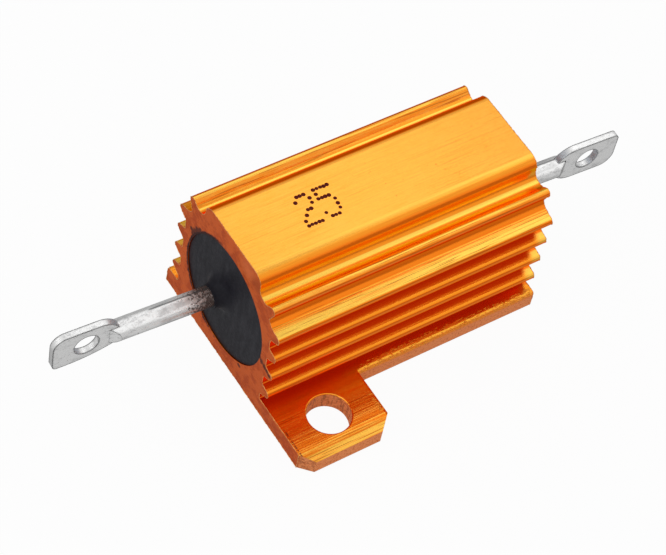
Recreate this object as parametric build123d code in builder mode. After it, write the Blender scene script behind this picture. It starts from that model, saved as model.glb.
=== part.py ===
from build123d import *
from math import cos, radians, sin
import os

# Housed wire-wound resistor: a finned aluminium extrusion with two mounting ears,
# filled with moulding compound round a wound ceramic core, and one lug terminal a side.
# X runs along the housing, Z up, and the base lies on Z = 0. Millimetres.

# Housing: the bore and the walls round it
housing_length = 27.5
bore_radius = 5.93
base_wall = 1.54
web_wall = 0.87
crown_wall = 2.2

# Fins: four alike, the highest of them the shoulder fin, and the small top fin above
# a cove. A drop is measured down from the land, the flat strip along the top.
fins_below_shoulder = 3
first_fin_height = 3.45
shoulder_fin_drop = 4.35
fin_length = 1.1
fin_tip_radius = 0.4
fin_root_above = 0.62
fin_root_below = 0.85
fin_root_fillet = 0.15
cove_depth = 0.64
cove_drop = 1.15
top_fin_setback = 1.23
top_fin_drop = 1.9
top_fin_underside = -35.0
top_fin_slope = 31.0

# Gutters beside the land
gutter_setback = 1.47
gutter_radius = 0.9
gutter_depth = 2.0
land_rounding_width = 1.05
land_rounding_drop = 0.7

# Flange: a narrow strip under the fins and two mounting ears, each with one screw hole
flange_thickness = 1.85
strip_margin = 0.55
strip_edge_radius = 0.35
ear_reach = 5.85
ear_rounding_width = 1.4
ear_rounding_drop = 0.35
ear_length = 9.07
ear_end_chamfer = 1.1
ear_inner_chamfer = 1.35
ear_root_radius = 0.12
hole_from_end = 4.46
hole_from_edge = 3.43
hole_radius = 1.95
hole_edge_radius = 0.12

# Wound element, lying slightly askew in the bore
element_offset = 0.21
element_turn = 2.9
core_radius = 3.1
core_length = 19.0
core_edge_chamfer = 0.25
cap_wall = 0.4
cap_skirt = 2.2
wire_pitch = 1.55

# Moulding compound, filling the bore and drawn up round each lead
compound_recess = 0.12
winding_clearance = 0.05
meniscus_height = 1.1
meniscus_width = 1.3
meniscus_lip = 0.12
meniscus_root = 0.3

# Terminals: a round lead, pressed flat to a lug with an eye
lead_radius = 0.95
press_ramp = 0.85
lug_width = 3.8
lug_thickness = 0.66
eye_radius = 1.13
eye_from_end = 3.05
left_reach = 15.44
left_lug_length = 5.95
left_upper_shoulder = 1.7
left_lower_shoulder = 4.8
left_upper_corner = 1.25
left_lower_corner = 0.45
right_reach = 12.58
right_lug_length = 6.35
right_upper_shoulder = 1.9
right_lower_shoulder = 1.9
right_upper_corner = 0.5
right_lower_corner = 1.35

# Sizes that follow from those above
half_length = housing_length / 2
bore_height = base_wall + bore_radius
land_height = bore_height + bore_radius + crown_wall
web_half_width = bore_radius + web_wall
cove_half_width = web_half_width - cove_depth
fin_reach = web_half_width + fin_length
shoulder_fin_height = land_height - shoulder_fin_drop
fin_pitch = (shoulder_fin_height - first_fin_height) / fins_below_shoulder
top_fin_reach = fin_reach - top_fin_setback
top_fin_height = land_height - top_fin_drop
cove_height = top_fin_height - cove_drop
shoulder_root_height = shoulder_fin_height + fin_root_above
gutter_half_width = top_fin_reach - gutter_setback
gutter_height = land_height - gutter_depth
strip_half_width = fin_reach + strip_margin
ear_half_width = strip_half_width + ear_reach
hole_offset_along = half_length - hole_from_end
hole_offset_across = ear_half_width - hole_from_edge
cap_radius = core_radius + cap_wall
wire_radius = cap_wall / 2
winding_length = core_length - 2 * cap_skirt
cap_face = core_length / 2 + cap_wall
compound_face = half_length - compound_recess
element = Plane(
    origin=(0, element_offset, bore_height),
    x_dir=(0, 0, 1),
    z_dir=(cos(radians(element_turn)), -sin(radians(element_turn)), 0),
)
os.makedirs("parts", exist_ok=True)


def on_tip(reach, height, angle):
    """Point on a fin's round tip, at an angle up from the outward direction."""
    centre = reach - fin_tip_radius
    return (
        centre + fin_tip_radius * cos(radians(angle)),
        height + fin_tip_radius * sin(radians(angle)),
    )


def in_gutter(angle):
    """Point on the round floor of a gutter, at an angle up from the outward direction."""
    return (
        gutter_half_width + gutter_radius * cos(radians(angle)),
        gutter_height + gutter_radius + gutter_radius * sin(radians(angle)),
    )


# One plain fin seen end on, standing out from the web, with a round tip
with BuildSketch() as fin:
    with Locations((fin_reach - fin_tip_radius - web_half_width, 0)):
        Circle(fin_tip_radius)
    with BuildLine():
        Line((0, -fin_root_below), (0, fin_root_above))
    make_hull()

# Housing: one extrusion, bored through, its flange milled back to two ears
with BuildPart() as housing:
    with BuildSketch(Plane.YZ.offset(-half_length)) as section:
        with BuildLine():
            shoulder_root = (web_half_width, shoulder_root_height)
            cove_top = (cove_half_width, cove_height)
            tip_under = on_tip(top_fin_reach, top_fin_height, top_fin_underside)
            tip_outer = on_tip(top_fin_reach, top_fin_height, 45)
            tip_upper = on_tip(top_fin_reach, top_fin_height, 90 + top_fin_slope)
            land_side = gutter_half_width - gutter_radius
            base = Line((0, 0), (ear_half_width, 0))
            wall = Line(base @ 1, (ear_half_width, flange_thickness - ear_rounding_drop))
            flange_end = (ear_half_width - ear_rounding_width, flange_thickness)
            TangentArc(flange_end, wall @ 1, tangent=(1, 0))
            Polyline(flange_end, (web_half_width, flange_thickness), shoulder_root)
            back = (fin_tip_radius - fin_length, fin_root_above - fin_tip_radius)
            TangentArc(shoulder_root, cove_top, tangent=back)
            Line(cove_top, tip_under)
            ThreePointArc(tip_under, tip_outer, tip_upper)
            Line(tip_upper, in_gutter(top_fin_slope - 90))
            ThreePointArc(in_gutter(top_fin_slope - 90), in_gutter(-135), in_gutter(180))
            side = Line(in_gutter(180), (land_side, land_height - land_rounding_drop))
            land_end = (land_side - land_rounding_width, land_height)
            TangentArc(land_end, side @ 1, tangent=(1, 0))
            Polyline(land_end, (0, land_height), (0, 0))
        make_face()
        for step in range(fins_below_shoulder + 1):
            with Locations((web_half_width, first_fin_height + step * fin_pitch)):
                add(fin.sketch)
        roots = section.vertices().filter_by(
            lambda v: abs(v.X - web_half_width) < 1e-4 and v.Y < shoulder_root_height - 1e-4
        )
        fillet(roots, fin_root_fillet)
        mirror(about=Plane.YZ)
    extrude(amount=housing_length)

    with BuildSketch() as plan:
        Rectangle(housing_length, 2 * strip_half_width)
        for end in (-1, 1):
            with Locations((end * (half_length - ear_length / 2), end * ear_half_width / 2)):
                Rectangle(ear_length, ear_half_width)
        for corner_x, corner_y, cut in (
            (half_length, ear_half_width, ear_end_chamfer),
            (half_length - ear_length, ear_half_width, ear_inner_chamfer),
        ):
            corners = plan.vertices().filter_by(
                lambda v: abs(abs(v.X) - corner_x) < 1e-4 and abs(abs(v.Y) - corner_y) < 1e-4
            )
            chamfer(corners, cut)
        roots = plan.vertices().filter_by(
            lambda v: abs(abs(v.X) - (half_length - ear_length)) < 1e-4
            and abs(abs(v.Y) - strip_half_width) < 1e-4
        )
        fillet(roots, ear_root_radius)
    extrude(amount=land_height, mode=Mode.INTERSECT)

    strip_edges = housing.edges().filter_by(
        lambda e: abs(abs((e @ 0.5).Y) - strip_half_width) < 1e-4
        and abs((e @ 0.5).Z - flange_thickness) < 1e-4
    )
    fillet(strip_edges, strip_edge_radius)

    with BuildSketch(Plane.YZ.offset(-half_length)):
        with Locations((0, bore_height)):
            Circle(bore_radius)
    extrude(amount=housing_length, mode=Mode.SUBTRACT)

    for end in (-1, 1):
        with Locations((end * hole_offset_along, end * hole_offset_across, flange_thickness)):
            Hole(hole_radius)
    rims = housing.edges().filter_by(GeomType.CIRCLE)
    rims = rims.filter_by(lambda e: abs(e.radius - hole_radius) < 1e-4)
    fillet(rims.group_by(Axis.Z)[-1], hole_edge_radius)

# Ceramic core: a plain rod with its edges broken
with BuildPart() as ceramic_core:
    with BuildSketch(element.offset(-core_length / 2)):
        Circle(core_radius)
    extrude(amount=core_length)
    chamfer(ceramic_core.edges().filter_by(GeomType.CIRCLE), core_edge_chamfer)

# Resistance wire: one layer wound on the core, its ends against the two caps
with BuildPart() as resistance_wire:
    with BuildLine() as winding_path:
        Helix(
            pitch=wire_pitch,
            height=winding_length - 2 * wire_radius,
            radius=core_radius + wire_radius,
            center=element.offset(wire_radius - winding_length / 2).origin,
            direction=element.z_dir,
        )
    with BuildSketch(Plane(origin=winding_path.line @ 0, z_dir=winding_path.line % 0)):
        Circle(wire_radius)
    sweep(path=winding_path.line, is_frenet=True)

ceramic_core.part.label = "ceramic_core"
resistance_wire.part.label = "resistance_wire"
export_step(ceramic_core.part, "parts/ceramic_core.step")
export_step(resistance_wire.part, "parts/resistance_wire.step")

# Moulding compound: fills the bore round the caps, the winding and the leads
with BuildPart() as encapsulant:
    with BuildSketch(Plane.YZ.offset(-compound_face)):
        with Locations((0, bore_height)):
            Circle(bore_radius)
    extrude(amount=2 * compound_face)
    for end in (-1, 1):
        lead_at_face = element.offset(end * compound_face / element.z_dir.X).origin
        face_plane = Plane(origin=lead_at_face, x_dir=(0, 0, 1), z_dir=(0, 1, 0))
        with BuildSketch(face_plane):
            with BuildLine():
                foot = (lead_radius + meniscus_width, 0)
                lip = (lead_radius + meniscus_lip, end * meniscus_height)
                Line((0, -end * meniscus_root), (foot[0], -end * meniscus_root))
                Line((foot[0], -end * meniscus_root), foot)
                TangentArc(foot, lip, tangent=(-1, 0))
                Line(lip, (0, end * meniscus_height))
                Line((0, end * meniscus_height), (0, -end * meniscus_root))
            make_face()
        revolve(axis=Axis(lead_at_face, (1, 0, 0)))
    with BuildSketch(element.offset(-cap_face)):
        Circle(cap_radius)
    extrude(amount=2 * cap_face, mode=Mode.SUBTRACT)
    with BuildSketch(element.offset(-winding_length / 2)):
        Circle(cap_radius + winding_clearance)
    extrude(amount=winding_length, mode=Mode.SUBTRACT)
    with BuildSketch(element):
        Circle(lead_radius)
    extrude(amount=housing_length, both=True, mode=Mode.SUBTRACT)

housing.part.label = "housing"
encapsulant.part.label = "encapsulant"
export_step(housing.part, "parts/housing.step")
export_step(encapsulant.part, "parts/encapsulant.step")

left_corners = (left_upper_corner, left_lower_corner)
left_shoulders = (left_upper_shoulder, left_lower_shoulder)
right_corners = (right_upper_corner, right_lower_corner)
right_shoulders = (right_upper_shoulder, right_lower_shoulder)
for side_name, end, reach, lug_length, shoulders, corners in (
    ("left", -1, left_reach, left_lug_length, left_shoulders, left_corners),
    ("right", 1, right_reach, right_lug_length, right_shoulders, right_corners),
):
    # End cap: a shallow cup pressed over the end of the core
    with BuildPart() as end_cap:
        with BuildSketch(element.offset(end * (core_length / 2 - cap_skirt))):
            Circle(cap_radius)
        extrude(amount=end * (cap_skirt + cap_wall))
        add(ceramic_core.part, mode=Mode.SUBTRACT)

    # Terminal: lead from the cap, pressed down on both sides to the lug, which stands on edge
    with BuildPart() as terminal:
        press_start = half_length + reach - lug_length
        press_slope = (lead_radius - lug_thickness / 2) / press_ramp
        press_run = lead_radius / press_slope
        with BuildSketch(element.offset(end * cap_face)):
            Circle(lead_radius)
        extrude(amount=end * (press_start + press_run - cap_face))
        outward = element.z_dir * end
        lug_plane = Plane(
            origin=element.offset(end * press_start).origin,
            x_dir=outward,
            z_dir=outward.cross(element.x_dir),
        )
        press_plane = Plane(
            origin=lug_plane.origin,
            x_dir=outward,
            z_dir=element.x_dir,
        )
        with BuildSketch(press_plane):
            with BuildLine():
                Polyline(
                    (-press_run, 2 * lead_radius),
                    (press_run, 0),
                    (press_run, 2 * lead_radius),
                    close=True,
                )
            make_face()
            mirror(about=Plane.XZ)
        extrude(amount=2 * lead_radius, both=True, mode=Mode.SUBTRACT)
        with BuildSketch(lug_plane) as lug:
            with BuildLine():
                for up, shoulder in zip((1, -1), shoulders):
                    edge = Line((shoulder, up * lug_width / 2), (lug_length, up * lug_width / 2))
                    TangentArc(edge @ 0, (0, up * lead_radius), tangent=(-1, 0))
                    Line((0, up * lead_radius), (0, 0))
                    Line((lug_length, 0), edge @ 1)
            make_face()
            for place, corner in zip((-1, 0), corners):
                ends = lug.vertices().filter_by(lambda v: abs(abs(v.Y) - lug_width / 2) < 1e-4)
                ends = ends.group_by(Axis.X)[-1].sort_by(Axis.Y)
                fillet(ends[place], corner)
            with Locations((lug_length - eye_from_end, 0)):
                Circle(eye_radius, mode=Mode.SUBTRACT)
        extrude(amount=lug_thickness / 2, both=True)

    end_cap.part.label = "end_cap_" + side_name
    terminal.part.label = "terminal_" + side_name
    export_step(end_cap.part, "parts/end_cap_" + side_name + ".step")
    export_step(terminal.part, "parts/terminal_" + side_name + ".step")
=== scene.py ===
# Housed wire-wound resistor: gold anodised fins, black compound and tinned lug terminals
import math
import random
import bpy
from mathutils import Matrix, Vector


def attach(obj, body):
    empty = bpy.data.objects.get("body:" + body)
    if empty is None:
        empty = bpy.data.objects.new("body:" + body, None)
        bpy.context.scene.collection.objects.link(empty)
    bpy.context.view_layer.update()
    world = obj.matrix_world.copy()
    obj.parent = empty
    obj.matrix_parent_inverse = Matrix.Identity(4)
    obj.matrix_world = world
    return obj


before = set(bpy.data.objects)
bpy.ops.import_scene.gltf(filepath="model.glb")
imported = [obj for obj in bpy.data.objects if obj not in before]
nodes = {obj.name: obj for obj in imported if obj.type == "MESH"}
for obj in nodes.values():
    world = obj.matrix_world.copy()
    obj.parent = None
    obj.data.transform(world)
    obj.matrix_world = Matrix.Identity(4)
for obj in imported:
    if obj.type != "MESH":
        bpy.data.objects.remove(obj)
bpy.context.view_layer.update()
mm = 0.001

# Where things are on the part, in mm, as the CAD has them
part = {
    "halfLength": 13.75,
    "landHeight": 15.6,
    "flangeTop": 1.85,
    "stripHalf": 8.45,
    "boreHeight": 7.47,
    "boreRadius": 5.93,
    "rolledFrom": 8.1,
    "rolledRadius": 0.35,
    "stripStart": -4.7,
    "hole": (9.29, 10.87),
    "holeRim": 2.1,
}


# Small helpers for node trees

def newMaterial(name):
    material = bpy.data.materials.new(name)
    material.use_nodes = True
    tree = material.node_tree
    tree.nodes.clear()
    output = tree.nodes.new("ShaderNodeOutputMaterial")
    shader = tree.nodes.new("ShaderNodeBsdfPrincipled")
    tree.links.new(shader.outputs[0], output.inputs[0])
    return material, tree, shader


def plug(tree, value, socket):
    if isinstance(value, bpy.types.NodeSocket):
        tree.links.new(value, socket)
    elif value is not None:
        socket.default_value = value


def maths(tree, operation, a, b=None, c=None, clamp=False):
    node = tree.nodes.new("ShaderNodeMath")
    node.operation = operation
    node.use_clamp = clamp
    for value, socket in zip((a, b, c), node.inputs):
        plug(tree, value, socket)
    return node.outputs[0]


def scaled(tree, vector, factors):
    node = tree.nodes.new("ShaderNodeVectorMath")
    node.operation = "MULTIPLY"
    plug(tree, vector, node.inputs[0])
    node.inputs[1].default_value = factors
    return node.outputs[0]


def noise(tree, vector, scale, detail=2.0, roughness=0.5):
    node = tree.nodes.new("ShaderNodeTexNoise")
    plug(tree, vector, node.inputs["Vector"])
    node.inputs["Scale"].default_value = scale
    node.inputs["Detail"].default_value = detail
    node.inputs["Roughness"].default_value = roughness
    return node.outputs["Fac"]


def ramp(tree, value, low, high, toLow=0.0, toHigh=1.0):
    node = tree.nodes.new("ShaderNodeMapRange")
    node.interpolation_type = "SMOOTHSTEP"
    plug(tree, value, node.inputs["Value"])
    for name, number in (("From Min", low), ("From Max", high), ("To Min", toLow), ("To Max", toHigh)):
        node.inputs[name].default_value = number
    return node.outputs[0]


def mixColour(tree, factor, a, b, blend="MIX"):
    node = tree.nodes.new("ShaderNodeMix")
    node.data_type = "RGBA"
    node.blend_type = blend
    plug(tree, factor, node.inputs["Factor"])
    for value, socket in ((a, node.inputs[6]), (b, node.inputs[7])):
        plug(tree, (*value, 1) if isinstance(value, tuple) else value, socket)
    return node.outputs[2]


def product(tree, *factors):
    result = factors[0]
    for factor in factors[1:]:
        result = maths(tree, "MULTIPLY", result, factor)
    return result


def largest(tree, *values):
    result = values[0]
    for value in values[1:]:
        result = maths(tree, "MAXIMUM", result, value)
    return result


def band(tree, value, low, high, soft, strength=1.0):
    # 1 between low and high, fading out over soft on both sides
    rise = ramp(tree, value, low - soft, low, 0.0, strength)
    return maths(tree, "MULTIPLY", rise, ramp(tree, value, high, high + soft, 1.0, 0.0))


def away(tree, a, b, centre):
    # distance from a centre in the plane of a and b
    da, db = maths(tree, "SUBTRACT", a, centre[0]), maths(tree, "SUBTRACT", b, centre[1])
    square = maths(tree, "MULTIPLY_ADD", da, da, maths(tree, "MULTIPLY", db, db))
    return maths(tree, "SQRT", square)


def bump(tree, height, distance, strength=1.0, normal=None):
    node = tree.nodes.new("ShaderNodeBump")
    node.inputs["Strength"].default_value = strength
    node.inputs["Distance"].default_value = distance
    plug(tree, height, node.inputs["Height"])
    plug(tree, normal, node.inputs["Normal"])
    return node.outputs[0]


def places(tree):
    # object coordinates in mm, whole and as three numbers
    coordinates = tree.nodes.new("ShaderNodeTexCoord")
    inMm = scaled(tree, coordinates.outputs["Object"], (1000, 1000, 1000))
    split = tree.nodes.new("ShaderNodeSeparateXYZ")
    tree.links.new(inMm, split.inputs[0])
    facing = tree.nodes.new("ShaderNodeSeparateXYZ")
    tree.links.new(coordinates.outputs["Normal"], facing.inputs[0])
    return inMm, split.outputs, facing.outputs


# Gold anodised aluminium

# the tones below include painted highlights and painted shade, as marked where they are laid on
gold = {
    "yellow": (0.96, 0.445, 0.066),
    "amber": (0.95, 0.30, 0.018),
    "bright": (1.0, 0.60, 0.090),
    "turned": (0.95, 0.16, 0.006),
    "far": (0.90, 0.12, 0.008),
    "ember": (0.80, 0.120, 0.007),
    "scored": (0.50, 0.13, 0.010),
    "strip": (0.64, 0.19, 0.012),
    "gutter": (0.98, 0.40, 0.045),
    "slope": (0.93, 0.68, 0.045),
    "floor": (0.80, 0.20, 0.010),
    "nose": (1.0, 0.27, 0.070),
    "earDark": (0.80, 0.19, 0.010),
    "flaked": (1.0, 0.45, 0.045),
    "flakedSide": (1.0, 0.32, 0.050),
    "sawn": (0.64, 0.120, 0.023),
    "sawnDark": (0.48, 0.071, 0.011),
    "sawnHighlight": (0.80, 0.21, 0.075),
    "sawnShade": (0.30, 0.045, 0.010),
    "highlightSpot": (-2.4, 14.7),
    "shadySpot": (-4.0, 14.3),
    "sheared": (0.92, 0.33, 0.125),
    "shearedDark": (0.60, 0.15, 0.045),
    "scorched": (0.20, 0.045, 0.022),
    "stain": (0.020, 0.008, 0.012),
    "edgeTint": (1.0, 0.42, 0.06),
    "worn": 0.05 * mm,
    "relief": 0.025 * mm,
    "cutSpecular": 0.2,
    "roughness": 0.21,
    "sawnRoughness": 0.5,
    "sawnMetal": 0.35,
    # compound smeared on the left end: y, z and radius of each spot
    "smears": (
        (5.57, 10.07, 0.36), (5.33, 10.54, 0.40), (5.04, 11.00, 0.40), (4.71, 11.42, 0.34),
        (5.90, 10.30, 0.28), (5.50, 4.95, 0.22), (4.90, 3.95, 0.24), (4.20, 3.10, 0.19),
        (3.30, 2.42, 0.20), (2.45, 1.85, 0.18), (1.60, 1.62, 0.16), (0.60, 1.38, 0.15),
        (-3.40, 2.26, 0.20), (-5.75, 6.80, 0.32), (-6.20, 6.55, 0.30), (-6.65, 6.35, 0.28),
        (-7.10, 6.18, 0.26), (-7.45, 6.05, 0.24)),
}


def dyeWithPaintedLight(tree, inMm, place, facing, across):
    # the drawn faces: tone of the dye by place, with painted light and shade by how far a face is turned to
    # the side
    x, y, z = place
    nx, ny, nz = facing
    drawn = scaled(tree, inMm, (0.012, 1, 1))
    lines = noise(tree, drawn, 5.5, 3, 0.65)
    hairlines = noise(tree, drawn, 8, 2, 0.6)
    scratches = noise(tree, scaled(tree, inMm, (0.12, 1, 1)), 7, 3, 0.6)
    grain = noise(tree, scaled(tree, inMm, (0.7, 1, 1)), 6, 4, 0.75)
    cloud = noise(tree, inMm, 0.35, 2)

    low = ramp(tree, z, 1.9, 2.3, 1.0, 0.0)
    ear = maths(tree, "MULTIPLY", low, ramp(tree, across, 8.5, 9.5))
    onLand = ramp(tree, z, 15.0, 15.4)
    onTopFin = maths(tree, "MULTIPLY", ramp(tree, z, 13.6, 13.7), ramp(tree, across, 5.3, 5.6))
    shoulder = product(
        tree, ramp(tree, nz, 0.78, 0.88), ramp(tree, across, 6.66, 6.76), band(tree, z, 11.4, 12.1, 0.2))
    lined = largest(tree, ear, onTopFin, shoulder)
    lineWeight = maths(tree, "MULTIPLY_ADD", onLand, -0.42, 0.6)
    lineWeight = maths(tree, "MULTIPLY_ADD", lined, 0.4, lineWeight)

    tone = maths(tree, "MULTIPLY", maths(tree, "SUBTRACT", lines, 0.5), lineWeight)
    tone = maths(tree, "MULTIPLY_ADD", maths(tree, "SUBTRACT", scratches, 0.5), 0.35, tone)
    tone = maths(tree, "MULTIPLY_ADD", maths(tree, "SUBTRACT", grain, 0.5), 0.55, tone)
    tone = maths(tree, "MULTIPLY_ADD", maths(tree, "SUBTRACT", cloud, 0.5), 0.2, tone)
    tone = maths(tree, "MULTIPLY", tone, maths(tree, "MULTIPLY_ADD", onLand, -0.5, 1.0))
    tone = maths(tree, "MULTIPLY_ADD", onLand, 0.13, maths(tree, "SUBTRACT", tone, 0.06))
    tone = maths(tree, "MULTIPLY_ADD", largest(tree, onTopFin, ear), 0.07, tone)
    colour = mixColour(tree, ramp(tree, tone, -0.17, 0.15), gold["amber"], gold["yellow"])
    turned = maths(tree, "ABSOLUTE", ny)
    # painted shade: faces tilted a little to the side turn amber
    tilted = product(tree, ramp(tree, turned, 0.12, 0.34, 0.0, 0.85), ramp(tree, lined, 0, 1, 1, 0.25))
    colour = mixColour(tree, tilted, colour, gold["amber"])

    # painted highlights along the land's near edge, on the shoulder, the top fins' tips and the ears'
    # rounded edge, and low in the gutters
    edge = product(tree, band(tree, y, -3.55, -3.35, 0.3, 0.4), onLand)
    lit = product(tree, shoulder, ramp(tree, across, 6.75, 7.35, 0.3, 1.0), ramp(tree, y, 1, 0))
    nearFloor = product(tree, band(tree, y, -5.02, -4.76, 0.06), ramp(tree, z, 14.2, 14.1))
    farFoot = product(tree, band(tree, y, 5.22, 5.33, 0.04), band(tree, z, 13.5, 13.8, 0.05))
    tip = product(tree, band(tree, across, 6.12, 6.36, 0.05, 0.8), ramp(tree, z, 13.9, 13.98))
    rim = product(tree, band(tree, across, 13.65, 14.2, 0.1, 0.6), low)
    streak = product(tree, band(tree, across, 12.0, 13.4, 0.4, 0.65), ramp(tree, lines, 0.50, 0.62), low)
    paintedHighlight = largest(tree, edge, lit, nearFloor, farFoot, tip, rim, streak)
    colour = mixColour(tree, paintedHighlight, colour, gold["bright"])

    # painted shade on faces turned to the side, in the cove and at the shoulder's root
    inGutter = product(tree, band(tree, y, -6.05, -4.25, 0.1), band(tree, z, 13.5, 14.85, 0.1))
    sideways = ramp(tree, turned, 0.53, 0.85, 0.0, 0.9)
    sideways = product(tree, sideways, ramp(tree, inGutter, 0, 1, 1, 0.35))
    cove = product(
        tree, ramp(tree, across, 6.76, 6.6, 0.0, 0.55), ramp(tree, across, 6.0, 6.15),
        band(tree, z, 11.95, 13.2, 0.1))
    root = product(tree, band(tree, across, 6.81, 6.85, 0.03, 0.8), band(tree, z, 11.75, 12.0, 0.05))
    colour = mixColour(tree, largest(tree, sideways, cove, root), colour, gold["turned"])
    # painted shade on the far side's upper faces turned towards the back
    far = product(
        tree, ramp(tree, ny, 0.10, 0.38, 0.0, 0.9), ramp(tree, z, 13.3, 13.4), ramp(tree, y, 0, 1))
    colour = mixColour(tree, far, colour, gold["far"])
    # a paler, pinker painted shade on the fins' noses where they face straight to the side
    topNose = product(tree, band(tree, across, 6.6, 6.9, 0.05), ramp(tree, z, 13.4, 13.5))
    nose = largest(tree, ramp(tree, across, 7.72, 7.82), topNose)
    nose = product(tree, nose, ramp(tree, turned, 0.88, 0.98, 0.0, 0.8), ramp(tree, z, 2.5, 2.7))
    colour = mixColour(tree, nose, colour, gold["nose"])

    # the near gutter's two sides and floor in painted light and shade: lighter on the wall, a painted
    # highlight on the slope, painted shade on the floor
    wall = product(tree, inGutter, ramp(tree, ny, -0.80, -0.95))
    colour = mixColour(tree, wall, colour, gold["gutter"])
    slope = product(tree, inGutter, ramp(tree, ny, 0.02, 0.15), ramp(tree, x, 11.5, 13.2, 1.0, 0.0))
    colour = mixColour(tree, slope, colour, gold["slope"])
    floor = product(tree, inGutter, band(tree, y, -5.75, -5.14, 0.06, 0.85))
    colour = mixColour(tree, maths(tree, "SUBTRACT", floor, slope, clamp=True), colour, gold["floor"])

    # drawn and scored lines, pits in the land, and painted shade in the deep recesses between the fins
    fillet = product(
        tree, ramp(tree, nz, 0.35, 0.5), ramp(tree, across, 6.5, 6.6), band(tree, z, 11.4, 12.6, 0.2))
    lined = largest(tree, lined, fillet, maths(tree, "MULTIPLY", onLand, 0.2))
    hair = product(tree, ramp(tree, hairlines, 0.53, 0.63, 0.0, 0.48), lined)
    colour = mixColour(tree, hair, colour, gold["turned"])
    scored = noise(tree, scaled(tree, inMm, (0.02, 1, 1)), 9.5, 1)
    scored = product(tree, ramp(tree, scored, 0.58, 0.66, 0.0, 0.75), lined)
    colour = mixColour(tree, scored, colour, gold["scored"])
    pits = product(tree, ramp(tree, noise(tree, inMm, 3.1, 2), 0.735, 0.76, 0.0, 0.7), onLand)
    colour = mixColour(tree, pits, colour, gold["turned"])
    deep = product(tree, ramp(tree, across, 7.3, 7.5, 0.85, 0.0), ramp(tree, z, 10.9, 11.3, 1.0, 0.0))
    colour = mixColour(tree, deep, colour, gold["ember"])

    # how far along the side with the strip: light gets in between the fins at that end
    toStrip = maths(tree, "MULTIPLY", maths(tree, "SIGN", y), maths(tree, "MULTIPLY", x, -1.0))
    openEnd = product(
        tree, ramp(tree, toStrip, 12.5, 13.4, 0.0, 0.75), ramp(tree, nz, 0.15, 0.4),
        band(tree, z, 2.4, 10.8, 0.2), ramp(tree, across, 7.0, 7.2))
    colour = mixColour(tree, openEnd, colour, gold["bright"])

    # the flange: painted shade close to the fins, streaked amber further out, scratched round the hole,
    # with painted glints on some scratches
    flat = maths(tree, "MULTIPLY", low, ramp(tree, nz, 0.9, 0.98))
    close = product(
        tree, flat, ramp(tree, across, 8.2, 9.6, 0.85, 0.0), ramp(tree, toStrip, 9.0, 13.7, 1.0, 0.35))
    colour = mixColour(tree, close, colour, gold["strip"])
    streaks = ramp(tree, maths(tree, "MULTIPLY_ADD", scratches, 0.4, lines), 0.62, 0.80, 1.0, 0.0)
    streaks = maths(tree, "MULTIPLY_ADD", streaks, 0.6, 0.35, clamp=True)
    streaks = product(
        tree, streaks, ramp(tree, across, 9.8, 11.2), ramp(tree, across, 13.0, 13.7, 1.0, 0.0))
    streaks = largest(tree, streaks, band(tree, across, 13.50, 13.54, 0.04, 0.9))
    colour = mixColour(tree, maths(tree, "MULTIPLY", streaks, low), colour, gold["earDark"])
    beside = product(
        tree, band(tree, maths(tree, "ABSOLUTE", x), 13.50, 13.60, 0.05, 0.8), ear,
        ramp(tree, scratches, 0.44, 0.50), ramp(tree, across, 10.0, 11.0))
    colour = mixColour(tree, beside, colour, gold["scorched"])
    glint = product(
        tree, ramp(tree, hairlines, 0.60, 0.66), ramp(tree, scratches, 0.46, 0.56),
        ear, ramp(tree, across, 11.8, 12.4, 0.8, 0.0))
    colour = mixColour(tree, glint, colour, gold["bright"])

    # the strip's sheared edge, where the film has flaked
    jagged = noise(tree, scaled(tree, inMm, (0.35, 1, 1)), 4.5, 3, 0.65)
    start = part["stripStart"]
    widening = ramp(tree, toStrip, start, -1.0, -7.06, -6.74)
    widening = maths(tree, "ADD", widening, ramp(tree, toStrip, 3.0, 13.0, 0.0, -0.20))
    flaked = maths(tree, "MULTIPLY_ADD", across, 0.8, maths(tree, "ADD", jagged, widening))
    onStrip = product(
        tree, ramp(tree, across, part["stripHalf"], 8.6, 1.0, 0.0), low,
        ramp(tree, toStrip, start - 0.05, start + 0.05), ramp(tree, toStrip, 13.6, 13.7, 1.0, 0.0))
    flaked = maths(tree, "MULTIPLY", ramp(tree, flaked, 0.0, 0.10, 0.0, 0.9), onStrip)
    # painted shade: the flaked film turns more orange on faces turned to the side
    flakedTone = mixColour(tree, ramp(tree, turned, 0.4, 0.9), gold["flaked"], gold["flakedSide"])
    colour = mixColour(tree, flaked, colour, flakedTone)

    height = maths(tree, "MULTIPLY_ADD", lines, lineWeight, maths(tree, "MULTIPLY", grain, 0.4))
    height = maths(tree, "MULTIPLY", height, maths(tree, "MULTIPLY_ADD", onLand, -0.45, 1.0))
    return colour, grain, height, flaked


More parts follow.
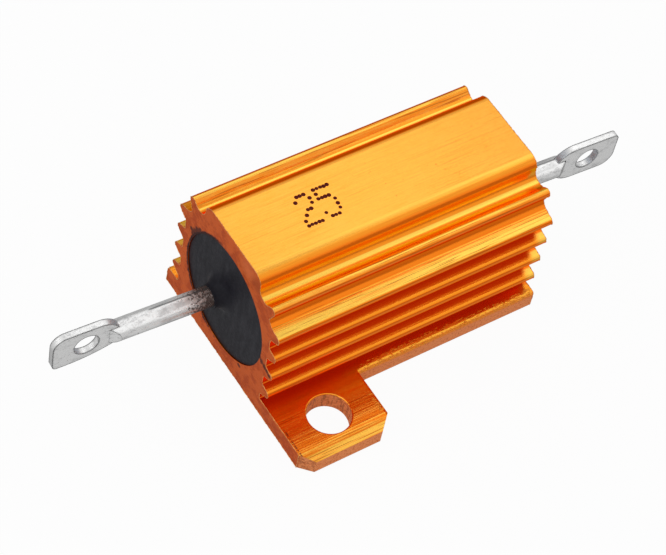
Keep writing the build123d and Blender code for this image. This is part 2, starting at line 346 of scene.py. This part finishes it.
def anodisedGold():
    material, tree, shader = newMaterial("anodisedGold")
    inMm, (x, y, z), (nx, ny, nz) = places(tree)
    across = maths(tree, "ABSOLUTE", y)
    along = maths(tree, "ABSOLUTE", x)
    colour, grain, height, flaked = dyeWithPaintedLight(tree, inMm, (x, y, z), (nx, ny, nz), across)

    # cut walls of the flange, streaked up and down inside the screw holes, with the film
    # drawn down over the top of the strip's edge
    mottle = noise(tree, scaled(tree, inMm, (1, 0.45, 1)), 5, 4, 0.75)
    wall = product(
        tree, ramp(tree, maths(tree, "ABSOLUTE", nz), 0.3, 0.15),
        ramp(tree, z, 1.86, 1.9, 1.0, 0.0), ramp(tree, across, 8.0, 8.3))
    lap = ramp(tree, maths(tree, "MULTIPLY_ADD", mottle, 0.8, z), 1.72, 1.82, 0.0, 0.7)
    lap = maths(tree, "MULTIPLY", lap, flaked)
    wall = maths(tree, "SUBTRACT", wall, lap, clamp=True)
    sheared = mixColour(tree, ramp(tree, mottle, 0.36, 0.52), gold["shearedDark"], gold["sheared"])
    upright = noise(tree, scaled(tree, inMm, (1, 1, 0.15)), 3.5, 3, 0.7)
    fromHole = away(tree, along, across, part["hole"])
    inHole = ramp(tree, fromHole, part["holeRim"], part["holeRim"] + 0.1, 1.0, 0.0)
    endwise = maths(tree, "ABSOLUTE", nx)
    corner = ramp(tree, product(tree, endwise, maths(tree, "ABSOLUTE", ny)), 0.35, 0.45)
    blotch = noise(tree, inMm, 2.6, 4, 0.7)
    scorch = maths(tree, "MULTIPLY", inHole, ramp(tree, upright, 0.48, 0.62, 0.0, 0.5))
    burnt = product(
        tree, corner, ramp(tree, blotch, 0.38, 0.64, 0.0, 0.55), ramp(tree, inHole, 0, 1, 1, 0))
    sheared = mixColour(tree, largest(tree, scorch, burnt), sheared, gold["scorched"])
    colour = mixColour(tree, wall, colour, sheared)

    # sawn ends, with a paler painted highlight and a painted shade spot beside the land, and smears of
    # compound round the left end of the bore
    endFace = product(tree, ramp(tree, endwise, 0.6, 0.8), ramp(tree, along, 13.6, 13.68))
    patchy = noise(tree, inMm, 0.9, 3, 0.6)
    patchy = maths(tree, "MULTIPLY_ADD", patchy, 0.6, maths(tree, "MULTIPLY", mottle, 0.4))
    sawn = mixColour(tree, ramp(tree, patchy, 0.41, 0.56), gold["sawnDark"], gold["sawn"])
    highlight = ramp(tree, away(tree, y, z, gold["highlightSpot"]), 0.3, 1.5, 0.5, 0.0)
    sawn = mixColour(tree, highlight, sawn, gold["sawnHighlight"])
    shady = ramp(tree, away(tree, y, z, gold["shadySpot"]), 0.3, 1.3, 0.5, 0.0)
    sawn = mixColour(tree, shady, sawn, gold["sawnShade"])
    ragged = maths(tree, "MULTIPLY", maths(tree, "SUBTRACT", blotch, 0.5), 0.55)
    fromBore = maths(tree, "ADD", away(tree, y, z, (0, part["boreHeight"])), ragged)
    smear = product(tree, ramp(tree, fromBore, 6.08, 6.22, 1.0, 0.0), ramp(tree, y, 0.5, 2.5))
    for spotY, spotZ, radius in gold["smears"]:
        reach = maths(tree, "ADD", away(tree, y, z, (spotY, spotZ)), ragged)
        smear = largest(tree, smear, ramp(tree, reach, radius * 0.6, radius * 1.35, 0.85, 0.0))
    smear = maths(tree, "MULTIPLY", smear, ramp(tree, x, -13.0, -13.5))
    sawn = mixColour(tree, smear, sawn, gold["stain"])
    colour = mixColour(tree, endFace, colour, sawn)
    plug(tree, colour, shader.inputs["Base Color"])
    shader.inputs["Specular Tint"].default_value = (*gold["edgeTint"], 1)

    cut = largest(tree, endFace, wall)
    dulled = largest(tree, cut, maths(tree, "MULTIPLY", flaked, 0.4))
    plug(tree, ramp(tree, dulled, 0, 1, 1.0, gold["sawnMetal"]), shader.inputs["Metallic"])
    rough = maths(tree, "MULTIPLY_ADD", grain, 0.12, gold["roughness"] - 0.06)
    rough = maths(tree, "MULTIPLY_ADD", cut, gold["sawnRoughness"] - gold["roughness"], rough)
    plug(tree, rough, shader.inputs["Roughness"])
    plug(tree, ramp(tree, cut, 0, 1, 0.5, gold["cutSpecular"]), shader.inputs["Specular IOR Level"])

    bevel = tree.nodes.new("ShaderNodeBevel")
    bevel.samples = 4
    bevel.inputs["Radius"].default_value = gold["worn"]
    torn = maths(tree, "MULTIPLY", mottle, largest(tree, cut, flaked))
    height = maths(tree, "MULTIPLY_ADD", torn, 1.6, height)
    plug(tree, bump(tree, height, gold["relief"], 0.6, bevel.outputs[0]), shader.inputs["Normal"])
    return material


# Tinned brass of the terminals

tin = {
    "bright": (0.95, 0.95, 0.945),
    "dull": (0.70, 0.70, 0.70),
    "stain": (0.07, 0.042, 0.034),
    "blush": (0.50, 0.425, 0.395),
    "shade": (0.56, 0.60, 0.64),
    "streak": (0.52, 0.52, 0.52),
    "rimTint": (0.45, 0.45, 0.45),
    "outline": (0.07, 0.07, 0.07),
    "worn": 0.22 * mm,
    "relief": 0.06 * mm,
}


def tinned():
    material, tree, shader = newMaterial("tinnedMetal")
    inMm, (x, y, z), (nx, ny, nz) = places(tree)
    along = maths(tree, "ABSOLUTE", x)
    blotches = noise(tree, scaled(tree, inMm, (0.5, 1, 1)), 1.6, 4, 0.7)
    grain = noise(tree, inMm, 6, 4, 0.7)
    tone = maths(tree, "MULTIPLY_ADD", blotches, 0.6, maths(tree, "MULTIPLY", grain, 0.4))
    colour = mixColour(tree, ramp(tree, tone, 0.38, 0.50), tin["dull"], tin["bright"])
    streaks = noise(tree, scaled(tree, inMm, (0.10, 1, 1)), 2.2, 3, 0.6)
    onLead = ramp(tree, along, 19.5, 20.0, 1.0, 0.0)
    streaks = maths(tree, "MULTIPLY", ramp(tree, streaks, 0.50, 0.60, 0.0, 0.45), onLead)
    colour = mixColour(tree, streaks, colour, tin["streak"])

    # brown flux specks, thickest where the lead leaves the compound
    near = ramp(tree, along, 14.4, 19.0, 1.0, 0.0)
    blush = ramp(tree, along, 15.0, 18.0, 0.9, 0.0)
    colour = mixColour(tree, blush, colour, tin["blush"])
    speck = noise(tree, inMm, 4.2, 3, 0.8)
    underside = ramp(tree, nz, 0.35, -0.15)
    limit = maths(tree, "MULTIPLY_ADD", near, -0.285, 0.70)
    limit = maths(tree, "MULTIPLY_ADD", underside, -0.05, limit)
    speck = ramp(tree, maths(tree, "SUBTRACT", speck, limit), 0.0, 0.03)
    colour = mixColour(tree, maths(tree, "MULTIPLY", speck, 0.9), colour, tin["stain"])

    # painted shade: a dark line along the lead's back and underside, and dark rounded edges on the lug
    fromLine = maths(tree, "ABSOLUTE", maths(tree, "SUBTRACT", ny, 0.22))
    paintedShadeLine = ramp(tree, fromLine, 0.05, 0.14, 0.72, 0.0)
    paintedShadeLine = maths(tree, "MAXIMUM", paintedShadeLine, ramp(tree, nz, -0.18, -0.38, 0.0, 0.7))
    paintedShadeLine = maths(tree, "MULTIPLY", paintedShadeLine, ramp(tree, along, 20.0, 20.5, 1.0, 0.0))
    bevel = tree.nodes.new("ShaderNodeBevel")
    bevel.samples = 6
    bevel.inputs["Radius"].default_value = tin["worn"]
    geometry = tree.nodes.new("ShaderNodeNewGeometry")
    alike = tree.nodes.new("ShaderNodeVectorMath")
    alike.operation = "DOT_PRODUCT"
    tree.links.new(bevel.outputs[0], alike.inputs[0])
    tree.links.new(geometry.outputs["Normal"], alike.inputs[1])
    outline = ramp(tree, alike.outputs["Value"], 0.988, 0.92, 0.0, 0.95)
    outline = maths(tree, "MULTIPLY", outline, ramp(tree, along, 19.5, 20.0))
    colour = mixColour(tree, maths(tree, "MAXIMUM", outline, paintedShadeLine), colour, tin["outline"])

    # shade on the faces that look back to the body
    inner = maths(tree, "MULTIPLY", maths(tree, "SIGN", x), maths(tree, "MULTIPLY", nx, -1.0))
    inner = maths(tree, "MULTIPLY", ramp(tree, inner, 0.25, 0.6), ramp(tree, along, 18.0, 18.5))
    colour = mixColour(tree, inner, colour, tin["shade"])
    plug(tree, colour, shader.inputs["Base Color"])
    metal = maths(tree, "MULTIPLY_ADD", maths(tree, "MAXIMUM", speck, inner), -0.6, 1.0)
    plug(tree, metal, shader.inputs["Metallic"])
    shader.inputs["Specular Tint"].default_value = (*tin["rimTint"], 1)
    plug(tree, ramp(tree, tone, 0.38, 0.6, 0.40, 0.26), shader.inputs["Roughness"])
    height = maths(tree, "MULTIPLY_ADD", blotches, 0.7, maths(tree, "MULTIPLY", grain, 0.35))
    height = maths(tree, "MULTIPLY_ADD", speck, -0.3, height)
    plug(tree, bump(tree, height, tin["relief"], 0.6, bevel.outputs[0]), shader.inputs["Normal"])
    return material


# Black moulding compound

compound = {
    "black": (0.008, 0.0076, 0.0120),
    "grey": (0.015, 0.0143, 0.021),
    "specular": 0.14,
    "relief": 0.05 * mm,
}


def resin():
    material, tree, shader = newMaterial("blackCompound")
    inMm, (x, y, z), (nx, ny, nz) = places(tree)
    streaks = noise(tree, scaled(tree, inMm, (1, 1, 0.3)), 1.6, 4, 0.6)
    pits = noise(tree, inMm, 4, 4, 0.7)
    tone = maths(tree, "MULTIPLY_ADD", streaks, 0.5, maths(tree, "MULTIPLY", pits, 0.5))
    colour = mixColour(tree, ramp(tree, tone, 0.35, 0.7), compound["black"], compound["grey"])
    plug(tree, colour, shader.inputs["Base Color"])
    plug(tree, ramp(tree, tone, 0.3, 0.7, 0.62, 0.48), shader.inputs["Roughness"])
    plug(tree, bump(tree, tone, compound["relief"], 0.5), shader.inputs["Normal"])
    shader.inputs["Specular IOR Level"].default_value = compound["specular"]
    return material


# Plain finishes, also those of the ceramic, caps and wire hidden in the compound

hidden = {
    "ceramic": ((0.80, 0.78, 0.72), 0.0, 0.6, 4),
    "cap": ((0.55, 0.55, 0.56), 1.0, 0.35, 3),
    "wire": ((0.50, 0.45, 0.40), 1.0, 0.35, 8),
}


def plainPiece(name, colour, metallic, roughness, scale, specular=0.5):
    material, tree, shader = newMaterial(name)
    inMm, place, facing = places(tree)
    speck = noise(tree, inMm, scale, 4, 0.6)
    darker = tuple(channel * 0.7 for channel in colour)
    mottled = mixColour(tree, ramp(tree, speck, 0.35, 0.65), darker, colour)
    plug(tree, mottled, shader.inputs["Base Color"])
    shader.inputs["Metallic"].default_value = metallic
    shader.inputs["Specular IOR Level"].default_value = specular
    plug(tree, ramp(tree, speck, 0.3, 0.7, roughness + 0.08, roughness - 0.08), shader.inputs["Roughness"])
    plug(tree, bump(tree, speck, 0.02 * mm, 0.4), shader.inputs["Normal"])
    return material


def dress(node, material):
    slots = nodes[node].material_slots
    if not slots:
        nodes[node].data.materials.append(material)
    for place in slots:
        place.link = "OBJECT"
        place.material = material


goldFinish = anodisedGold()
tinFinish = tinned()
dress("housing", goldFinish)
dress("encapsulant", resin())
dress("terminal_left", tinFinish)
dress("terminal_right", tinFinish)
dress("ceramic_core", plainPiece("ceramicBody", *hidden["ceramic"]))
dress("end_cap_left", plainPiece("capSteel", *hidden["cap"]))
dress("end_cap_right", plainPiece("capSteel", *hidden["cap"]))
dress("resistance_wire", plainPiece("windingAlloy", *hidden["wire"]))
print("finishes on the CAD nodes")


# Geometry Nodes trees for what repeats or follows an edge

def newTree(name, inputs):
    tree = bpy.data.node_groups.new(name, "GeometryNodeTree")
    tree.interface.new_socket(name="Geometry", in_out="OUTPUT", socket_type="NodeSocketGeometry")
    tree.interface.new_socket(name="Geometry", in_out="INPUT", socket_type="NodeSocketGeometry")
    for label, kind in inputs:
        tree.interface.new_socket(name=label, in_out="INPUT", socket_type="NodeSocket" + kind)
    return tree, tree.nodes.new("NodeGroupInput").outputs, tree.nodes.new("NodeGroupOutput").inputs


def add(tree, kind, links, **settings):
    node = tree.nodes.new(kind)
    for name, value in settings.items():
        setattr(node, name, value)
    for label, value in links.items():
        plug(tree, value, next(socket for socket in node.inputs if socket.name == label and socket.enabled))
    return next(output for output in node.outputs if output.enabled)


def spotTree():
    # a flattened bead on every point of the mesh
    tree, given, result = newTree("spots", (
        ("Size", "Float"), ("Variation", "Float"), ("Jitter", "Float"),
        ("Proportions", "Vector"), ("Seed", "Int"), ("Finish", "Material")))
    back = maths(tree, "MULTIPLY", given["Jitter"], -1.0)
    jitter = add(tree, "FunctionNodeRandomValue", {
        "Min": back, "Max": given["Jitter"], "Seed": given["Seed"]}, data_type="FLOAT_VECTOR")
    offset = add(tree, "ShaderNodeVectorMath", {}, operation="MULTIPLY")
    plug(tree, jitter, offset.node.inputs[0])
    plug(tree, given["Proportions"], offset.node.inputs[1])
    points = add(tree, "GeometryNodeSetPosition", {"Geometry": given["Geometry"], "Offset": offset})
    bead = add(tree, "GeometryNodeMeshUVSphere", {"Segments": 12, "Rings": 6, "Radius": 0.5})
    smaller = maths(tree, "SUBTRACT", 1.0, given["Variation"])
    larger = maths(tree, "ADD", 1.0, given["Variation"])
    factor = add(tree, "FunctionNodeRandomValue", {
        "Min": smaller, "Max": larger, "Seed": given["Seed"]}, data_type="FLOAT")
    size = maths(tree, "MULTIPLY", factor, given["Size"])
    scale = add(tree, "ShaderNodeVectorMath", {}, operation="MULTIPLY")
    plug(tree, size, scale.node.inputs[0])
    plug(tree, given["Proportions"], scale.node.inputs[1])
    beads = add(tree, "GeometryNodeInstanceOnPoints", {"Points": points, "Instance": bead, "Scale": scale})
    solid = add(tree, "GeometryNodeRealizeInstances", {"Geometry": beads})
    smooth = add(tree, "GeometryNodeSetShadeSmooth", {"Geometry": solid})
    finished = add(tree, "GeometryNodeSetMaterial", {"Geometry": smooth, "Material": given["Finish"]})
    plug(tree, finished, result["Geometry"])
    return tree


def ridgeTree():
    # a thin uneven ridge along the edges of the mesh
    tree, given, result = newTree("ridge", (
        ("Thickness", "Float"), ("Variation", "Float"), ("Spacing", "Float"),
        ("Wander", "Float"), ("Seed", "Int"), ("Finish", "Material")))
    path = add(tree, "GeometryNodeMeshToCurve", {"Mesh": given["Geometry"]})
    path = add(tree, "GeometryNodeResampleCurve", {
        "Curve": path, "Length": given["Spacing"]}, mode="LENGTH")
    back = maths(tree, "MULTIPLY", given["Wander"], -1.0)
    wander = add(tree, "FunctionNodeRandomValue", {
        "Min": back, "Max": given["Wander"], "Seed": given["Seed"]}, data_type="FLOAT_VECTOR")
    path = add(tree, "GeometryNodeSetPosition", {"Geometry": path, "Offset": wander})
    thinner = maths(tree, "SUBTRACT", 1.0, given["Variation"])
    factor = add(tree, "FunctionNodeRandomValue", {
        "Min": thinner, "Max": 1.0, "Seed": given["Seed"]}, data_type="FLOAT")
    radius = maths(tree, "MULTIPLY", factor, maths(tree, "MULTIPLY", given["Thickness"], 0.5))
    profile = add(tree, "GeometryNodeCurvePrimitiveCircle", {"Resolution": 5, "Radius": 1.0})
    body = add(tree, "GeometryNodeCurveToMesh", {
        "Curve": path, "Profile Curve": profile, "Scale": radius, "Fill Caps": True})
    solid = add(tree, "GeometryNodeRealizeInstances", {"Geometry": body})
    finished = add(tree, "GeometryNodeSetMaterial", {"Geometry": solid, "Material": given["Finish"]})
    plug(tree, finished, result["Geometry"])
    return tree


def grow(name, points, edges, tree, settings):
    # the tree's result as a plain mesh that rides on the part
    mesh = bpy.data.meshes.new(name)
    mesh.from_pydata([tuple(value * mm for value in point) for point in points], edges, [])
    piece = bpy.data.objects.new(name, mesh)
    bpy.context.scene.collection.objects.link(piece)
    modifier = piece.modifiers.new(name, "NODES")
    modifier.node_group = tree
    for item in tree.interface.items_tree:
        if item.in_out == "INPUT" and item.name in settings:
            modifier[item.identifier] = settings[item.name]
    evaluated = piece.evaluated_get(bpy.context.evaluated_depsgraph_get())
    plain = bpy.data.meshes.new_from_object(evaluated)
    piece.modifiers.remove(modifier)
    piece.data = plain
    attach(piece, "root")
    return piece


spots = spotTree()
ridge = ridgeTree()


# Rating in printed dots: plain numbers, seven rows of five

dots = {
    "glyphs": (
        (" ### ", "#   #", "    #", "  ## ", " #   ", "#    ", "#####"),
        ("#####", "#    ", "#### ", "    #", "    #", "#   #", " ### "),
    ),
    "starts": ((-7.172, 1.642), (-5.178, 1.669)),
    "perColumn": (0.336, -0.011),
    "perRow": (-0.046, -0.498),
    "ink": (0.130, 0.014, 0.008),
    "settings": {
        "Size": 0.37 * mm, "Variation": 0.10, "Jitter": 0.025 * mm,
        "Proportions": (1.0, 1.0, 0.12), "Seed": 3},
}


def printedDots():
    points = []
    for rows, (startX, startY) in zip(dots["glyphs"], dots["starts"]):
        for row, marks in enumerate(rows):
            for column, mark in enumerate(marks):
                if mark == "#":
                    x = startX + column * dots["perColumn"][0] + row * dots["perRow"][0]
                    y = startY + column * dots["perColumn"][1] + row * dots["perRow"][1]
                    points.append((x, y, part["landHeight"]))
    ink = plainPiece("printInk", dots["ink"], 0.0, 0.7, 9, specular=0.08)
    settings = dict(dots["settings"], Finish=ink)
    grow("rating_dots", points, [], spots, settings)


printedDots()
print("printed dots")


# Saw burr round the ends of the extrusion

burr = {
    "colour": (0.98, 0.46, 0.14),
    "roughness": 0.35,
    "slack": 0.01,
    "boreSlack": 0.05,
    "settings": {
        "Thickness": 0.09 * mm, "Variation": 0.75, "Spacing": 0.14 * mm,
        "Wander": 0.018 * mm, "Seed": 5},
}


def endOutline(end):
    # the mesh edges between the sawn end and the drawn faces, in mm
    housing = nodes["housing"]
    mesh = housing.data
    plane = end * part["halfLength"]
    corners = [housing.matrix_world @ vertex.co / mm for vertex in mesh.vertices]

    def key(corner):
        return tuple(round(value, 3) for value in corner)

    def inBore(corner):
        reach = math.hypot(corner[1], corner[2] - part["boreHeight"])
        return reach < part["boreRadius"] + burr["boreSlack"]

    walls = {}
    for polygon in mesh.polygons:
        ring = [corners[index] for index in polygon.vertices]
        onEnd = all(abs(corner.x - plane) < burr["slack"] for corner in ring)
        for first, second in zip(ring, ring[1:] + ring[:1]):
            pair = tuple(sorted((key(first), key(second))))
            walls.setdefault(pair, set()).add(onEnd)
    pairs = [pair for pair, sides in walls.items() if len(sides) == 2 and not inBore(pair[0])]
    places = sorted({corner for pair in pairs for corner in pair})
    index = {corner: number for number, corner in enumerate(places)}
    return places, [(index[first], index[second]) for first, second in pairs]


def sawBurrs():
    finish = plainPiece("burrGold", burr["colour"], 1.0, burr["roughness"], 6)
    settings = dict(burr["settings"], Finish=finish)
    for name, end in (("saw_burr_left", -1), ("saw_burr_right", 1)):
        places, edges = endOutline(end)
        grow(name, places, edges, ridge, settings)


sawBurrs()
print("saw burrs")


# Flaked gold along the flange's sheared edges

flakes = {
    "colour": (1.0, 0.36, 0.040),
    "roughness": 0.3,
    "chance": 4,
    "towardsEdge": 2.4,
    "perStrip": 300,
    "strip": ((-4.5, 13.6), (7.80, 8.42)),
    "perEar": 80,
    "ear": ((-5.22, -4.92), (10.6, 12.6)),
    # y, z and seed of each rolled burr
    "burrAt": ((8.33, 1.73, 7), (8.41, 1.61, 8)),
    "overrun": 0.1,
    "burr": {
        "Thickness": 0.17 * mm, "Variation": 0.85, "Spacing": 0.13 * mm,
        "Wander": 0.035 * mm},
    "settings": {
        "Size": 0.14 * mm, "Variation": 0.6, "Jitter": 0.02 * mm,
        "Proportions": (1.6, 0.5, 0.14), "Seed": 11},
}


def flangeFlakes():
    chance = random.Random(flakes["chance"])
    points = []
    for count, ((x0, x1), (y0, y1)) in (
            (flakes["perStrip"], flakes["strip"]), (flakes["perEar"], flakes["ear"])):
        for number in range(count):
            x = chance.uniform(x0, x1)
            y = y1 - (y1 - y0) * chance.random() ** flakes["towardsEdge"]
            drop = max(0.0, y - part["rolledFrom"]) if y < part["stripHalf"] else 0.0
            z = part["flangeTop"] - part["rolledRadius"] + math.sqrt(part["rolledRadius"] ** 2 - drop ** 2)
            points += [(x, -y, z), (-x, y, z)]
    finish = plainPiece("flakeGold", flakes["colour"], 1.0, flakes["roughness"], 8)
    grow("edge_flakes", points, [], spots, dict(flakes["settings"], Finish=finish))
    start, end = flakes["strip"][0]
    start -= flakes["overrun"]
    for number, (y, z, seed) in enumerate(flakes["burrAt"]):
        ends = [(start, -y, z), (end, -y, z), (-start, y, z), (-end, y, z)]
        settings = dict(flakes["burr"], Seed=seed, Finish=finish)
        grow("strip_burr_%d" % (number + 1), ends, [(0, 1), (2, 3)], ridge, settings)


flangeFlakes()
print("flakes")


# Floor, light and camera

studio = {
    "floorColour": (0.88, 0.88, 0.88),
    "floorSize": 4.0,
    "floorHeight": -0.0003,
    "floorGlow": 0.95,
    "floorRoughness": 0.9,
    "floorSpecular": 0.1,
    "world": 0.6,
    "mirrored": 0.72,
}

# each lamp: place, aim, width and height, brightness of its face
lamps = {
    "mainBox": ((0.19, 0.20, 0.32), (0.01, 0, 0.01), (0.50, 0.26), 0.12),
    "topStrip": ((0.21, 0.03, 0.37), (0.03, 0, 0.01), (0.50, 0.09), 0.65),
    "leftFill": ((-0.30, 0.02, 0.25), (0, 0, 0.01), (0.30, 0.30), 1.0),
}

# grey cards that only show in polished metal: four corners and how bright they look
cards = {
    "tableCard": (
        [(-0.3, -0.3, -0.00015), (0.3, -0.3, -0.00015), (0.3, 0.3, -0.00015), (-0.3, 0.3, -0.00015)],
        0.6),
    "frontCard": (
        [(-0.5, -0.32, 0.12), (0.6, -0.32, 0.12), (0.6, -0.07, 0.42), (-0.5, -0.07, 0.42)],
        0.95),
    "lowCard": (
        [(-0.5, -0.32, 0.0), (0.6, -0.32, 0.0), (0.6, -0.32, 0.12), (-0.5, -0.32, 0.12)],
        0.5),
    "backCard": (
        [(-0.4, 0.30, 0.0), (0.5, 0.30, 0.0), (0.5, 0.30, 0.16), (-0.4, 0.30, 0.16)],
        0.4),
}


def seenByEye(tree):
    # 1 for rays from the camera and for mirror rays, 0 for those that only light things
    path = tree.nodes.new("ShaderNodeLightPath")
    eye = maths(tree, "MAXIMUM", path.outputs["Is Camera Ray"], path.outputs["Is Glossy Ray"])
    return maths(tree, "MAXIMUM", eye, path.outputs["Is Transmission Ray"])


def makeFloor():
    half = studio["floorSize"] / 2
    mesh = bpy.data.meshes.new("floor")
    level = studio["floorHeight"]
    corners = [(-half, -half, level), (half, -half, level), (half, half, level), (-half, half, level)]
    mesh.from_pydata(corners, [], [(0, 1, 2, 3)])
    floor = bpy.data.objects.new("floor", mesh)
    bpy.context.scene.collection.objects.link(floor)
    material, tree, shader = newMaterial("paperFloor")
    shader.inputs["Base Color"].default_value = (*studio["floorColour"], 1)
    shader.inputs["Roughness"].default_value = studio["floorRoughness"]
    shader.inputs["Specular IOR Level"].default_value = studio["floorSpecular"]
    glow = tree.nodes.new("ShaderNodeEmission")
    mixer = tree.nodes.new("ShaderNodeMixShader")
    plug(tree, maths(tree, "MULTIPLY", seenByEye(tree), studio["floorGlow"]), mixer.inputs[0])
    tree.links.new(shader.outputs[0], mixer.inputs[1])
    tree.links.new(glow.outputs[0], mixer.inputs[2])
    output = next(n for n in tree.nodes if n.type == "OUTPUT_MATERIAL")
    tree.links.new(mixer.outputs[0], output.inputs[0])
    mesh.materials.append(material)


def makeWorld():
    world = bpy.data.worlds.new("studio")
    bpy.context.scene.world = world
    world.use_nodes = True
    tree = world.node_tree
    background = next(n for n in tree.nodes if n.type == "BACKGROUND")
    background.inputs["Color"].default_value = (1, 1, 1, 1)
    path = tree.nodes.new("ShaderNodeLightPath")
    eye, mirror = path.outputs["Is Camera Ray"], path.outputs["Is Glossy Ray"]
    strength = maths(tree, "MULTIPLY_ADD", eye, 1 - studio["world"], studio["world"])
    strength = maths(tree, "MULTIPLY_ADD", mirror, studio["mirrored"] - studio["world"], strength)
    tree.links.new(strength, background.inputs["Strength"])


def softbox(name, place, aim, size, brightness):
    lamp = bpy.data.lights.new(name, "AREA")
    lamp.shape = "RECTANGLE"
    lamp.size, lamp.size_y = size
    lamp.energy = brightness * math.pi * size[0] * size[1]
    light = bpy.data.objects.new(name, lamp)
    bpy.context.scene.collection.objects.link(light)
    light.location = place
    light.rotation_euler = (Vector(aim) - Vector(place)).to_track_quat("-Z", "Y").to_euler()
    return light


def reflectionCard(name, corners, level):
    # a grey card that only shows in polished metal, as a photographer sets one beside the part
    mesh = bpy.data.meshes.new(name)
    mesh.from_pydata(corners, [], [(0, 1, 2, 3)])
    card = bpy.data.objects.new(name, mesh)
    bpy.context.scene.collection.objects.link(card)
    material, tree, shader = newMaterial(name)
    shader.inputs["Base Color"].default_value = (0, 0, 0, 1)
    shader.inputs["Specular IOR Level"].default_value = 0
    shader.inputs["Emission Color"].default_value = (level, level, level, 1)
    shader.inputs["Emission Strength"].default_value = 1
    mesh.materials.append(material)
    card.visible_camera = False
    card.visible_diffuse = False
    card.visible_transmission = False
    card.visible_shadow = False


# the camera as fitted to the photo: its place and its three axes
shot = {
    "eye": (-0.0889836, -0.0940792, 0.1735009),
    "right": (0.83795484, -0.52890832, 0.13449045),
    "up": (0.36306695, 0.7242669, 0.58619097),
    "back": (-0.40744826, -0.44237252, 0.79893208),
    "sensor": 36,
    "lens": 133.02,
    "clipStart": 0.005,
}


def makeCamera():
    lens = bpy.data.cameras.new("camera")
    lens.sensor_width = shot["sensor"]
    lens.lens = shot["lens"]
    lens.clip_start = shot["clipStart"]
    camera = bpy.data.objects.new("camera", lens)
    bpy.context.scene.collection.objects.link(camera)
    turn = Matrix((shot["right"], shot["up"], shot["back"])).transposed().to_4x4()
    camera.matrix_world = Matrix.Translation(shot["eye"]) @ turn
    bpy.context.scene.camera = camera


makeFloor()
makeWorld()
for name, (place, aim, size, brightness) in lamps.items():
    softbox(name, place, aim, size, brightness)
for name, (corners, level) in cards.items():
    reflectionCard(name, corners, level)
makeCamera()
view = bpy.context.scene.view_settings
view.view_transform = "Standard"
print("floor, light and camera")
